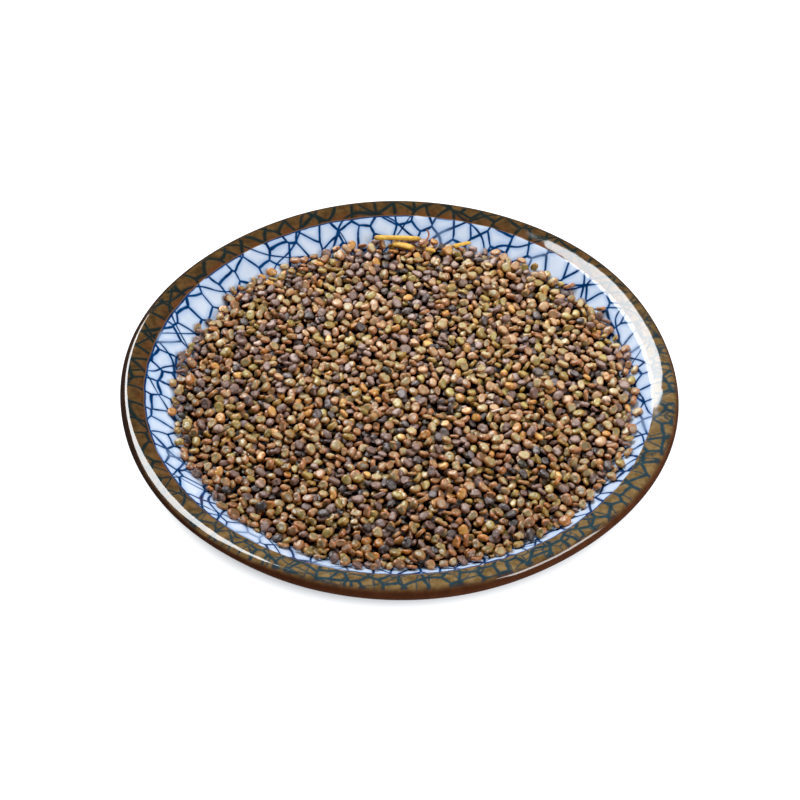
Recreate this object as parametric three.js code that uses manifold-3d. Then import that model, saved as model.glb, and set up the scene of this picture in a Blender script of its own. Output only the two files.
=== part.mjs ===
// A shallow glazed stoneware dish, filled to just under its lip with milkvetch seeds.
// Millimetres, +Z up. The origin is on the table, under the middle of the dish.
import * as THREE from "three";
import { mergeVertices } from "three/addons/utils/BufferGeometryUtils.js";
import Module from "manifold-3d";

// ---- The dish: driving dimensions ----
const RIM_RADIUS = 60; // outermost edge of the lip
const DISH_HEIGHT = 20; // crest of the lip above the table
const LIP_TOP_CURVE = 5.4; // radius of the lip's broad rounded top
const LIP_EDGE_CURVE = 1.15; // radius of its outer edge
const LIP_OUTER_TILT = 17; // degrees, where the broad top turns into the edge
const LIP_INNER_TILT = 31; // degrees, where the broad top turns into the wall
const WALL_SLOPE = 34; // degrees from the table, of the straight inner wall
const WALL_THICKNESS = 3.6;
const WELL_RADIUS = 34; // flat floor inside
const WELL_FLOOR = 8.4; // height of that floor above the table
const FOOT_RADIUS = 33; // outside of the foot ring
const FOOT_WIDTH = 2.6;
const FOOT_HEIGHT = 4;
const DISH_SEGMENTS = 80;
// The rim was thrown by hand and isn't quite round: [waves round the rim, size in mm, place of a high point in degrees]
const RIM_WAVES = [
  [2, 0.11, 135],
  [4, 0.16, 77],
  [6, 0.17, 41],
];

// ---- The seeds: driving dimensions ----
const HEAP_RADIUS = 50.3; // where the seeds end on the wall
const HEAP_EDGE_HEIGHT = 16.5;
const HEAP_DOME = 1.3; // rise of the middle over the edge
const HEAP_RINGS = 38; // rings of relief points: each third point is the top of a seed
const SEED_RISE = 0.52; // top of a seed over the heap's even surface
const SEED_GAP_DEPTH = 0.34; // gaps between seeds, under it
const SEED_UNEVENNESS = 0.3; // random share in mm of each height
const SEED_WANDER = 0.24; // random share in mm of each place
const SWELL_HEIGHT = 0.3; // slow rise and fall over the heap
const SWELL_LENGTH = 17;
const CLEARANCE = 0.45; // from the heap up or down to the dish
const RANDOM_SEED = 20;

// Yellow stalks on the far edge of the seeds: the ends, the bend between them, and the width
const STALKS = [
  { from: [-5.7, 48.2], to: [5.2, 48.1], lift: 0.45, width: 1.1 },
  { from: [-1.6, 48.0], to: [4.6, 45.6], lift: 0.35, width: 0.9 },
  { from: [13.2, 45.4], to: [16.4, 46.0], lift: 0.35, width: 1.0 },
];
const STALK_SIDES = 6;
const STALK_STEPS = 5;

const radians = THREE.MathUtils.degToRad;

// ---- manifold-3d ----
const wasm = await Module();
wasm.setup();

function toSolid(geometry) {
  const bare = geometry.clone();
  bare.deleteAttribute("normal");
  bare.deleteAttribute("uv");
  const merged = mergeVertices(bare, 1e-4);
  return new wasm.Manifold(
    new wasm.Mesh({
      numProp: 3,
      vertProperties: merged.attributes.position.array,
      triVerts: new Uint32Array(merged.index.array),
    }),
  );
}

function toGeometry(solid) {
  const mesh = solid.getMesh();
  const geometry = new THREE.BufferGeometry();
  geometry.setAttribute("position", new THREE.BufferAttribute(mesh.vertProperties, 3));
  geometry.setIndex(new THREE.BufferAttribute(mesh.triVerts, 1));
  geometry.computeVertexNormals();
  return geometry;
}

// ---- The dish ----
// The lip's broad top is an arc round (crestRadius, topCentre); its edge is a smaller arc that meets it smoothly.
const crestRadius =
  RIM_RADIUS - LIP_EDGE_CURVE - (LIP_TOP_CURVE - LIP_EDGE_CURVE) * Math.sin(radians(LIP_OUTER_TILT));
const topCentre = DISH_HEIGHT - LIP_TOP_CURVE;
const edgeCentre = new THREE.Vector2(
  RIM_RADIUS - LIP_EDGE_CURVE,
  topCentre + (LIP_TOP_CURVE - LIP_EDGE_CURVE) * Math.cos(radians(LIP_OUTER_TILT)),
);
// The inner edge of the lip, where the straight wall begins, and the wall's height at any radius.
const bandRadius = crestRadius - LIP_TOP_CURVE * Math.sin(radians(LIP_INNER_TILT));
const bandHeight = topCentre + LIP_TOP_CURVE * Math.cos(radians(LIP_INNER_TILT));
const wallGrade = Math.tan(radians(WALL_SLOPE));
const straightWall = (radius) => bandHeight - (bandRadius - radius) * wallGrade;
// The straight wall runs into the floor through a curve whose corner is where the two would meet.
const cornerRadius = bandRadius - (bandHeight - WELL_FLOOR) / wallGrade;
const curveTop = 2 * cornerRadius - WELL_RADIUS;

function innerHeight(radius) {
  if (radius >= curveTop) return straightWall(radius);
  if (radius <= WELL_RADIUS) return WELL_FLOOR;
  const along = (radius - WELL_RADIUS) / (curveTop - WELL_RADIUS);
  return WELL_FLOOR + (straightWall(curveTop) - WELL_FLOOR) * along * along;
}

function rimWave(angle) {
  return RIM_WAVES.reduce((sum, [waves, size, high]) => sum + size * Math.cos(waves * (angle - radians(high))), 0);
}

function dishGeometry() {
  const slopeOut = Math.sin(radians(WALL_SLOPE)) * WALL_THICKNESS;
  const slopeDown = Math.cos(radians(WALL_SLOPE)) * WALL_THICKNESS;
  const outline = new THREE.Path();
  outline.moveTo(0, FOOT_HEIGHT);
  outline.lineTo(FOOT_RADIUS - FOOT_WIDTH - 0.6, FOOT_HEIGHT);
  outline.lineTo(FOOT_RADIUS - FOOT_WIDTH, 0);
  outline.lineTo(FOOT_RADIUS - 0.4, 0);
  outline.lineTo(FOOT_RADIUS, FOOT_HEIGHT);
  // outer wall, level with the inner one, up to the underside of the lip
  outline.quadraticCurveTo(
    cornerRadius + slopeOut - 1,
    FOOT_HEIGHT + 0.6,
    curveTop + slopeOut,
    straightWall(curveTop) - slopeDown,
  );
  outline.lineTo(bandRadius + slopeOut - 0.4, bandHeight - slopeDown - 0.2);
  outline.absarc(
    edgeCentre.x,
    edgeCentre.y,
    LIP_EDGE_CURVE,
    radians(-80),
    radians(90 - LIP_OUTER_TILT),
    false,
  );
  outline.absarc(
    crestRadius,
    topCentre,
    LIP_TOP_CURVE,
    radians(90 - LIP_OUTER_TILT),
    radians(90 + LIP_INNER_TILT),
    false,
  );
  outline.lineTo(curveTop, straightWall(curveTop));
  outline.quadraticCurveTo(cornerRadius, WELL_FLOOR, WELL_RADIUS, WELL_FLOOR);
  outline.lineTo(0, WELL_FLOOR);
  const points = outline.getPoints(3);
  points[0].x = points.at(-1).x = 0;
  const geometry = new THREE.LatheGeometry(points, DISH_SEGMENTS);
  geometry.rotateX(Math.PI / 2);
  // The hand-thrown unevenness grows from nothing at the end of the seeds to its full size at the rim.
  const place = geometry.attributes.position;
  for (let i = 0; i < place.count; i++) {
    const radius = Math.hypot(place.getX(i), place.getY(i));
    const share = THREE.MathUtils.smoothstep(radius, HEAP_RADIUS, RIM_RADIUS - 2 * LIP_EDGE_CURVE);
    const stretch = 1 + (share * rimWave(Math.atan2(place.getY(i), place.getX(i)))) / RIM_RADIUS;
    place.setXY(i, place.getX(i) * stretch, place.getY(i) * stretch);
  }
  return geometry;
}

// ---- The seeds ----
let randomState = RANDOM_SEED;
function random() {
  // mulberry32
  randomState = (randomState + 0x6d2b79f5) | 0;
  let t = Math.imul(randomState ^ (randomState >>> 15), 1 | randomState);
  t = (t + Math.imul(t ^ (t >>> 7), 61 | t)) ^ t;
  return ((t ^ (t >>> 14)) >>> 0) / 4294967296;
}
const spread = (size) => (random() - 0.5) * 2 * size;

// The heap's even surface, without the seeds' relief.
function heapHeight(x, y) {
  const share = Math.min(1, Math.hypot(x, y) / HEAP_RADIUS);
  const swell = Math.sin(x / SWELL_LENGTH + 1) * Math.cos(y / SWELL_LENGTH - 0.6);
  return HEAP_EDGE_HEIGHT + HEAP_DOME * (1 - share * share) + SWELL_HEIGHT * swell * (1 - share);
}

// The relief is a triangular lattice wrapped onto a disc: ring k has 6k points. Every third lattice point is the
// top of a seed, and its six neighbours are the gaps round it.
const CORNERS = [
  [1, 0],
  [0, 1],
  [-1, 1],
  [-1, 0],
  [0, -1],
  [1, -1],
];
function isSeedTop(ring, sector, step) {
  const [q, r] = CORNERS[sector];
  const [dq, dr] = CORNERS[(sector + 2) % 6];
  return (((ring * q + step * dq - ring * r - step * dr) % 3) + 3) % 3 === 0;
}

function heapGeometry() {
  const places = [];
  const faces = [];
  const ringStep = HEAP_RADIUS / HEAP_RINGS;
  const firstOf = (ring) => (ring === 0 ? 0 : 1 + 3 * ring * (ring - 1));

  places.push(0, 0, heapHeight(0, 0) + SEED_RISE);
  for (let ring = 1; ring <= HEAP_RINGS; ring++) {
    const atEdge = ring === HEAP_RINGS;
    for (let i = 0; i < 6 * ring; i++) {
      const angle = (i / (6 * ring)) * 2 * Math.PI;
      const radius = ring * ringStep + (atEdge ? -Math.abs(spread(SEED_WANDER)) : spread(SEED_WANDER));
      const turn = angle + spread(SEED_WANDER) / radius;
      const x = radius * Math.cos(turn);
      const y = radius * Math.sin(turn);
      const top = isSeedTop(ring, Math.floor(i / ring), i % ring);
      const relief = top ? SEED_RISE + spread(SEED_UNEVENNESS) : -SEED_GAP_DEPTH + spread(SEED_UNEVENNESS / 2);
      const height = heapHeight(x, y) + (atEdge ? 0 : relief);
      places.push(x, y, Math.max(height, innerHeight(radius) + CLEARANCE));
    }
  }
  for (let ring = 1; ring <= HEAP_RINGS; ring++) {
    const outer = firstOf(ring);
    const inner = firstOf(ring - 1);
    const outerCount = 6 * ring;
    const innerCount = Math.max(1, 6 * (ring - 1));
    for (let sector = 0; sector < 6; sector++) {
      for (let step = 0; step < ring; step++) {
        const a = outer + sector * ring + step;
        const b = outer + ((sector * ring + step + 1) % outerCount);
        const c = inner + ((sector * (ring - 1) + step) % innerCount);
        faces.push(a, b, c);
        if (step < ring - 1) faces.push(b, inner + ((sector * (ring - 1) + step + 1) % innerCount), c);
      }
    }
  }

  // Under the relief, rings follow the dish's wall down to its floor, each with fewer points than the one above.
  let above = { first: firstOf(HEAP_RINGS), count: 6 * HEAP_RINGS };
  for (const [radius, count] of [
    [46, 76],
    [curveTop, 38],
    [WELL_RADIUS, 30],
  ]) {
    const ring = { first: places.length / 3, count };
    for (let i = 0; i < count; i++) {
      const angle = (i / count) * 2 * Math.PI;
      places.push(radius * Math.cos(angle), radius * Math.sin(angle), innerHeight(radius) + CLEARANCE);
    }
    stitch(faces, above, ring);
    above = ring;
  }
  const middle = places.length / 3;
  places.push(0, 0, WELL_FLOOR + CLEARANCE);
  for (let i = 0; i < above.count; i++) {
    faces.push(above.first + i, middle, above.first + ((i + 1) % above.count));
  }

  const geometry = new THREE.BufferGeometry();
  geometry.setAttribute("position", new THREE.Float32BufferAttribute(places, 3));
  geometry.setIndex(faces);
  return geometry;
}

// Fills the band between an upper ring and a lower one that has fewer points, facing out.
function stitch(faces, upper, lower) {
  let u = 0;
  let l = 0;
  while (u < upper.count || l < lower.count) {
    const upperNext = (u + 1) / upper.count;
    const lowerNext = (l + 1) / lower.count;
    const a = upper.first + (u % upper.count);
    const b = lower.first + (l % lower.count);
    if (l >= lower.count || (u < upper.count && upperNext <= lowerNext)) {
      faces.push(a, b, upper.first + ((u + 1) % upper.count));
      u++;
    } else {
      faces.push(a, b, lower.first + ((l + 1) % lower.count));
      l++;
    }
  }
}

// A dry stalk: a six-sided rod, a little arched, half sunk in the seeds under it.
function stalkGeometry({ from, to, lift, width }) {
  const [start, end] = [from, to].map(([x, y]) => new THREE.Vector3(x, y, heapHeight(x, y) + lift));
  const bend = start.clone().lerp(end, 0.5);
  bend.z += width / 4;
  const section = new THREE.Shape();
  for (let side = 0; side < STALK_SIDES; side++) {
    const angle = (side / STALK_SIDES) * 2 * Math.PI;
    const point = [(width / 2) * Math.cos(angle), (width / 2) * Math.sin(angle)];
    if (side === 0) section.moveTo(...point);
    else section.lineTo(...point);
  }
  return new THREE.ExtrudeGeometry(section, {
    steps: STALK_STEPS,
    bevelEnabled: false,
    extrudePath: new THREE.CatmullRomCurve3([start, bend, end]),
  });
}

function seedsGeometry() {
  const heap = toSolid(heapGeometry());
  return toGeometry(STALKS.reduce((whole, stalk) => whole.add(toSolid(stalkGeometry(stalk))), heap));
}

// ---- The model ----
const glaze = new THREE.MeshStandardMaterial({ color: 0xdfe6f0, roughness: 0.12, metalness: 0 });
const seedCoat = new THREE.MeshStandardMaterial({ color: 0x7d6642, roughness: 0.5, metalness: 0 });

const dish = new THREE.Mesh(dishGeometry(), glaze);
dish.name = "dish";
const seeds = new THREE.Mesh(seedsGeometry(), seedCoat);
seeds.name = "seeds";

const model = new THREE.Group();
model.add(dish, seeds);

export default model;
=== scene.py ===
"""A shallow glazed dish full of milkvetch seeds: the looks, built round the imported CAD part.

Lengths are in millimetres until a mesh or an object is made, and MM turns them into Blender's metres.
x is to the right of the photograph, y away from the camera, z up from the table.
"""
import functools
import math

import bpy
import numpy as np
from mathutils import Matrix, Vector


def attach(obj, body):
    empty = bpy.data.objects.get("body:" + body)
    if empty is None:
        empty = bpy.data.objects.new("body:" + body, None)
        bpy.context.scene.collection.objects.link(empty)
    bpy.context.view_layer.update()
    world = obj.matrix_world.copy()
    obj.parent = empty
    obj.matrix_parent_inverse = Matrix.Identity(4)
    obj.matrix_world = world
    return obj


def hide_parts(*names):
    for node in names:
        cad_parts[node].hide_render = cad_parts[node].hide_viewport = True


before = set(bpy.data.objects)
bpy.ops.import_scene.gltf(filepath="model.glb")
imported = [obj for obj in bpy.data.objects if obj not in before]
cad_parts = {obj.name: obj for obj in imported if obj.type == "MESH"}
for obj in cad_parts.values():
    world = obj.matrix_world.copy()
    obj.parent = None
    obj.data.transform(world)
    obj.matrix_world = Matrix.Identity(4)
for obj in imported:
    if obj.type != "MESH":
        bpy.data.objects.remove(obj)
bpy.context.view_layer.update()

MM = 0.001
RANDOM = np.random.default_rng(41)

# ---------------------------------------------------------------- the dish's dimensions
RIM_RADIUS = 60.0
DISH_HEIGHT = 20.0
# curves of the lip's shoulder and its edge, and the tilt where they meet: nearly all round, and a flat part
LIP_ROUND = (1.4, 1.7, math.radians(17))
LIP_FLAT = (4.0, 0.95, math.radians(24))
LIP_FLAT_AT = (math.radians(222), math.radians(22))  # heading and half width of the flatter stretch
LIP_CREST_CURVE = 4.0  # from the lip's highest line in to its nearly flat face
LIP_FOOT_RADIUS = 54.6  # where that face ends
LIP_ROOT_CURVE = 4.6  # where it runs into the wall
LIP_FACE_TILT = (math.radians(10), math.radians(24))  # of the face, at the crest and at the wall
LIP_LOWER_TILT = math.radians(-80)  # where the edge's curve ends underneath
WALL_SLOPE = math.radians(34)
WALL_THICKNESS = 3.6
WELL_RADIUS = 34.0
WELL_FLOOR = 8.4
FOOT_RADIUS = 33.0
FOOT_WIDTH = 2.6
FOOT_HEIGHT = 4.0
DISH_SEGMENTS = 320
RIM_WAVES = ((2, 0.11, 135), (4, 0.16, 77), (6, 0.17, 41))  # how many round the rim, size, a high point


def tangent_centre(point, radius, tilt):
    """Centre of a curve of this radius that passes through a point where the surface has this tilt."""
    return point[0] + radius * math.sin(tilt), point[1] - radius * math.cos(tilt)


def on_curve(centre, radius, tilt):
    return centre[0] - radius * math.sin(tilt), centre[1] + radius * math.cos(tilt)


class Lip:
    """The centres of the curves that make the lip's section, from its highest line outwards and inwards."""

    def __init__(self, shoulder, edge, outer_tilt):
        self.shoulder, self.edge, self.outer_tilt = shoulder, edge, outer_tilt
        self.crest = RIM_RADIUS - edge - (shoulder - edge) * math.sin(outer_tilt)
        self.crest_centre = (self.crest, DISH_HEIGHT - LIP_CREST_CURVE)
        self.shoulder_centre = (self.crest, DISH_HEIGHT - shoulder)
        meeting = on_curve(self.shoulder_centre, shoulder, -outer_tilt)
        self.edge_centre = tangent_centre(meeting, edge, -outer_tilt)
        top = on_curve(self.crest_centre, LIP_CREST_CURVE, LIP_FACE_TILT[0])
        self.face = (top[0] - LIP_FOOT_RADIUS) / (math.sin(LIP_FACE_TILT[1]) - math.sin(LIP_FACE_TILT[0]))
        self.face_centre = tangent_centre(top, self.face, LIP_FACE_TILT[0])
        foot = on_curve(self.face_centre, self.face, LIP_FACE_TILT[1])
        self.root_centre = tangent_centre(foot, LIP_ROOT_CURVE, LIP_FACE_TILT[1])
        self.wall_top = on_curve(self.root_centre, LIP_ROOT_CURVE, WALL_SLOPE)


ROUND_LIP = Lip(*LIP_ROUND)
WALL_TOP = ROUND_LIP.wall_top
WALL_GRADE = math.tan(WALL_SLOPE)
CORNER_RADIUS = WALL_TOP[0] - (WALL_TOP[1] - WELL_FLOOR) / WALL_GRADE
CURVE_TOP = 2 * CORNER_RADIUS - WELL_RADIUS

# ---------------------------------------------------------------- the seeds' dimensions
HEAP_RADIUS = 53.2
HEAP_LEVEL = 16.45  # mean height of their edge
HEAP_LEAN = (0.016, -0.010)  # they lie a little higher to the right and at the front
HEAP_DOME = 1.5
HEAP_BANK = (1.95, math.radians(-84), math.radians(34))  # at the front wall: height, heading, half width
SEED_LENGTH = (2.40, 0.32)  # mean and spread
SEED_SPACING = 0.95  # each seed is made this share of the room it takes, so that the gaps show dark
SEED_DEPTH = 2.3  # real seeds are laid over a core this far under the top

GRID = 0.125  # the height map that the seeds are dropped on
PATCH = 27  # cells across one seed's stamp
SHAPES = 120
TURNS = 16
MOST_SEEDS = 9000
PLACES_TRIED = 26  # for each seed, before it is let go over the lowest
MOVES_TRIED = 14  # at each of the reaches, in cells, that it then rolls by
ROLLS = (5, 3, 1)
SAME_TURN = 0.6  # share of those moves in which it doesn't turn
LEAST_SHOWN = 9  # cells that a seed must show from above to be made


# ---------------------------------------------------------------- mesh helpers
def new_mesh(name, vertices, faces, smooth=True):
    """An object in the scene from vertices in millimetres."""
    mesh = bpy.data.meshes.new(name)
    mesh.from_pydata((np.asarray(vertices) * MM).tolist(), [], faces)
    mesh.polygons.foreach_set("use_smooth", [smooth] * len(mesh.polygons))
    mesh.update()
    piece = bpy.data.objects.new(name, mesh)
    bpy.context.scene.collection.objects.link(piece)
    return piece


def put_attribute(piece, name, values):
    """A number or a vector for each vertex."""
    values = np.asarray(values, np.float32)
    kind, key = ("FLOAT", "value") if values.ndim == 1 else ("FLOAT_VECTOR", "vector")
    piece.data.attributes.new(name, kind, "POINT").data.foreach_set(key, values.ravel())


def put_uv(piece, corners):
    """A UV map named OFBake, for baking: one pair for each corner of each face, in order."""
    layer = piece.data.uv_layers.new(name="OFBake")
    layer.uv.foreach_set("vector", np.asarray(corners, np.float32).ravel())


def band(low, high, sides):
    """The faces between two rings of vertices, which begin at these numbers."""
    return [(low + i, low + (i + 1) % sides, high + (i + 1) % sides, high + i) for i in range(sides)]


def dress(piece, material):
    piece.data.materials.append(material)
    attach(piece, "root")


# ---------------------------------------------------------------- the dish
def round_points(radius, angle):
    return radius * np.cos(angle), radius * np.sin(angle)


def arc(centre, radius, start, end, steps):
    x, y = round_points(radius, np.linspace(start, end, steps))
    return np.c_[centre[0] + x, centre[1] + y]


def bend(start, corner, end, steps):
    t = np.linspace(0, 1, steps)[:, None]
    return (1 - t) ** 2 * np.array(start) + 2 * t * (1 - t) * np.array(corner) + t**2 * np.array(end)


def straight(start, end, steps):
    t = np.linspace(0, 1, steps)[:, None]
    return (1 - t) * np.array(start) + t * np.array(end)


def wall_height(radius):
    """Height of the dish's inner surface, inside the lip."""
    radius = np.asarray(radius, float)
    line = WALL_TOP[1] - (WALL_TOP[0] - radius) * WALL_GRADE
    along = np.clip((radius - WELL_RADIUS) / (CURVE_TOP - WELL_RADIUS), 0, 1)
    top = WALL_TOP[1] - (WALL_TOP[0] - CURVE_TOP) * WALL_GRADE
    return np.where(radius >= CURVE_TOP, line, WELL_FLOOR + (top - WELL_FLOOR) * along**2)


def dish_profile(lip):
    """Points (radius, height) from the middle of the inside, over the lip, to the middle of the underside.

    Also the arc length of each, counted from the foot of the lip's inner face: negative on the inside wall.
    """
    out = math.sin(WALL_SLOPE) * WALL_THICKNESS
    down = math.cos(WALL_SLOPE) * WALL_THICKNESS
    top = float(wall_height(CURVE_TOP))
    quarter = math.pi / 2
    lowest = on_curve(lip.edge_centre, lip.edge, LIP_LOWER_TILT - quarter)
    under = (WALL_TOP[0] + out + 0.4, WALL_TOP[1] - down + 0.35)  # where the lip's underside ends
    ring_in = FOOT_RADIUS - FOOT_WIDTH
    runs = [
        straight((0, WELL_FLOOR), (WELL_RADIUS, WELL_FLOOR), 6),
        bend((WELL_RADIUS, WELL_FLOOR), (CORNER_RADIUS, WELL_FLOOR), (CURVE_TOP, top), 10),
        straight((CURVE_TOP, top), lip.wall_top, 12),
        arc(lip.root_centre, LIP_ROOT_CURVE, quarter + WALL_SLOPE, quarter + LIP_FACE_TILT[1], 5),
        arc(lip.face_centre, lip.face, quarter + LIP_FACE_TILT[1], quarter + LIP_FACE_TILT[0], 9),
        arc(lip.crest_centre, LIP_CREST_CURVE, quarter + LIP_FACE_TILT[0], quarter, 6),
        arc(lip.shoulder_centre, lip.shoulder, quarter, quarter - lip.outer_tilt, 8),
        arc(lip.edge_centre, lip.edge, quarter - lip.outer_tilt, LIP_LOWER_TILT, 16),
        straight(lowest, under, 5),
        straight(under, (CURVE_TOP + out, top - down), 9),
        bend((CURVE_TOP + out, top - down), (CORNER_RADIUS + out - 1, FOOT_HEIGHT + 0.6),
             (FOOT_RADIUS, FOOT_HEIGHT), 12),
        bend((FOOT_RADIUS, FOOT_HEIGHT), (FOOT_RADIUS - 0.35, 0.2), (FOOT_RADIUS - 0.7, 0.0), 5),
        straight((FOOT_RADIUS - 0.7, 0.0), (ring_in + 0.3, 0.0), 3),
        bend((ring_in + 0.3, 0.0), (ring_in, 0.1), (ring_in - 0.6, FOOT_HEIGHT), 5),
        straight((ring_in - 0.6, FOOT_HEIGHT), (0, FOOT_HEIGHT), 6),
    ]  # fmt: skip
    points = np.vstack([run[(0 if i == 0 else 1):] for i, run in enumerate(runs)])
    length = np.r_[0, np.cumsum(np.hypot(*np.diff(points, axis=0).T))]
    lip_foot = sum(len(run) - 1 for run in runs[:4])
    return points, length - length[lip_foot]


def make_dish():
    profile, along = dish_profile(ROUND_LIP)
    flatter, _ = dish_profile(Lip(*LIP_FLAT))
    rows = len(profile) - 2
    angle = np.linspace(0, 2 * math.pi, DISH_SEGMENTS, endpoint=False)
    heading, width = LIP_FLAT_AT
    flat = np.exp(-(((angle - heading) / width) ** 4))
    radius, height = (
        (1 - flat) * one[1:-1, None] + flat * other[1:-1, None] for one, other in zip(profile.T, flatter.T)
    )
    # the hand-thrown unevenness grows from nothing at the end of the seeds to its full size at the rim
    share = np.clip((radius - HEAP_RADIUS) / (ROUND_LIP.crest - HEAP_RADIUS), 0, 1)
    share = share * share * (3 - 2 * share)
    wave = sum(size * np.cos(count * (angle - math.radians(high))) for count, size, high in RIM_WAVES)
    x, y = round_points(radius * (1 + share * wave / RIM_RADIUS), angle)
    vertices = np.stack([x, y, height], -1).reshape(-1, 3)
    vertices = np.vstack([vertices, (0, 0, profile[0, 1]), (0, 0, profile[-1, 1])])

    step = np.arange(DISH_SEGMENTS)
    after = (step + 1) % DISH_SEGMENTS
    left, right = step / DISH_SEGMENTS, (step + 1) / DISH_SEGMENTS
    level = (along - along[0]) / (along[-1] - along[0])
    faces, corners = [], []
    for row in range(rows - 1):
        a, b = row * DISH_SEGMENTS, (row + 1) * DISH_SEGMENTS
        faces += np.c_[a + step, b + step, b + after, a + after].tolist()
        low, high = (np.full(DISH_SEGMENTS, level[row + i]) for i in (1, 2))
        corners.append(np.stack([left, low, left, high, right, high, right, low], -1).ravel())
    first, last, end = len(vertices) - 2, len(vertices) - 1, (rows - 1) * DISH_SEGMENTS
    faces += [(first, int(a), int(b)) for a, b in zip(step, after)]
    faces += [(last, int(end + b), int(end + a)) for a, b in zip(step, after)]
    mid = (left + right) / 2
    inner, outer = (np.full(DISH_SEGMENTS, level[i]) for i in (1, -2))
    corners.append(np.stack([mid, 0 * mid, left, inner, right, inner], -1).ravel())
    corners.append(np.stack([mid, 0 * mid + 1, right, outer, left, outer], -1).ravel())
    piece = new_mesh("dish_glazed", vertices, faces)
    put_uv(piece, np.concatenate(corners))
    put_attribute(piece, "place", vertices)
    put_attribute(piece, "along", np.r_[np.repeat(along[1:-1], DISH_SEGMENTS), along[0], along[-1]])
    return piece, along


# ---------------------------------------------------------------- one seed's shape
def seed_shapes(count, random):
    """Random shapes as a dict of columns: half sizes in mm and the strengths of each feature."""

    def within(low, high):
        return random.uniform(low, high, count)

    half = random.normal(*SEED_LENGTH, count).clip(1.6, 2.95) / 2
    plump = random.random(count) < 0.3
    wrinkled = random.random(count) < 0.28
    return {
        "long": half,
        "wide": half * within(0.6, 0.88),
        "thick": half * np.where(plump, within(0.5, 0.66), within(0.38, 0.52)),
        "square": within(0.0, 0.03) + 0.06 * wrinkled,
        "square_turn": within(0, math.pi),
        "notch": within(0.08, 0.26) * (random.random(count) < 0.7),
        "notch_width": within(0.26, 0.46),
        "groove": within(0.1, 0.6),
        "taper": within(-0.13, 0.13),
        "dimple": within(0.15, 0.65) * (random.random(count) < 0.72) * np.where(plump, 0.3, 1.0),
        "round": within(0.68, 0.92),
        "wrinkle": np.where(wrinkled, within(0.04, 0.085), within(0.0, 0.022)),
        "phase": within(0, 2 * math.pi),
    }


CREASES = ((5.1, 2.3, 1.0), (-3.2, 5.6, 2.0), (1.4, -6.3, -2.6), (7.3, 6.4, 0.7))  # of a wrinkled coat


def seed_points(shape, turn, rise):
    """Surface points of seeds in their own frames: x along, y across, notch at -y, z through the flat faces.

    shape holds a value for each seed, turn and rise the points' angles round the rim and up from it.
    Gives an array (seed, point, 3).
    """
    s = {key: value[:, None] for key, value in shape.items()}
    turn, rise = turn[None, :], rise[None, :]
    outline = s["long"] * s["wide"] / np.hypot(s["wide"] * np.cos(turn), s["long"] * np.sin(turn))
    outline = outline * (1 + s["square"] * np.cos(3 * (turn - s["square_turn"])))
    away = (turn + math.pi / 2 + math.pi) % (2 * math.pi) - math.pi
    outline = outline * (1 - s["notch"] * np.exp(-((away / s["notch_width"]) ** 2)))
    reach = np.abs(np.cos(rise)) ** s["round"]
    lift = np.sign(np.sin(rise)) * np.abs(np.sin(rise)) ** s["round"]
    x = outline * reach * np.cos(turn)
    y = outline * reach * np.sin(turn)
    # both faces are sunk in the middle inside a raised rim, and a groove runs in from the notch
    lift = lift * (1 - s["dimple"] * np.exp(-((reach / 0.66) ** 4)))
    inward = np.clip(0.25 - y / s["wide"], 0, 0.6) / 0.6
    lift = lift * (1 - s["groove"] * inward * np.exp(-((x / (0.2 * s["long"])) ** 2)))
    crease = sum(
        np.sin(a * x / s["long"] + b * y / s["long"] + c * lift + (i + 1) * s["phase"])
        for i, (a, b, c) in enumerate(CREASES)
    )
    swell = 1 + s["wrinkle"] * crease
    y = y * (1 + s["taper"] * x / s["long"])
    z = s["thick"] * lift * (1 - 0.25 * s["taper"] * x / s["long"]) * (1 + s["wrinkle"] * 1.5 * crease)
    return np.stack(np.broadcast_arrays(x * swell, y * swell, z), -1)


def matrices(rows):
    """A pile of 3 x 3 matrices, from one whose places hold a column of values each."""
    return np.ascontiguousarray(np.array(rows).transpose(2, 0, 1))


def tilted_turns(count, random):
    """Rotation matrices: any heading, mostly lying flat but some tilted or on edge."""
    heading = random.uniform(0, 2 * math.pi, count)
    tilt = np.abs(random.normal(0, math.radians(33), count)).clip(0, math.radians(90))
    axis = random.uniform(0, 2 * math.pi, count)
    flip = random.random(count) < 0.5
    c, s = np.cos(heading), np.sin(heading)
    zero, one = np.zeros(count), np.ones(count)
    head = matrices([[c, -s, zero], [s, c, zero], [zero, zero, one]])
    x, y = np.cos(axis), np.sin(axis)
    ct, st = np.cos(tilt), np.sin(tilt)
    lean = matrices([
        [ct + x * x * (1 - ct), x * y * (1 - ct), y * st],
        [x * y * (1 - ct), ct + y * y * (1 - ct), -x * st],
        [-y * st, x * st, ct],
    ])  # fmt: skip
    over = np.where(flip, -1.0, 1.0)
    head[:, :, 1] *= over[:, None]
    head[:, :, 2] *= over[:, None]
    return lean @ head


# ---------------------------------------------------------------- pouring the seeds
def target_level(x, y):
    """The even surface that the seeds' tops should make."""
    share = (x**2 + y**2) / HEAP_RADIUS**2
    swell = 0.22 * np.sin(x / 13 + 1) * np.cos(y / 15 - 0.6)
    height, heading, width = HEAP_BANK
    bank = height * share**3 * np.exp(-(((np.arctan2(y, x) - heading) / width) ** 2))
    return HEAP_LEVEL + HEAP_LEAN[0] * x + HEAP_LEAN[1] * y + (HEAP_DOME + swell) * (1 - share) + bank


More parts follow.
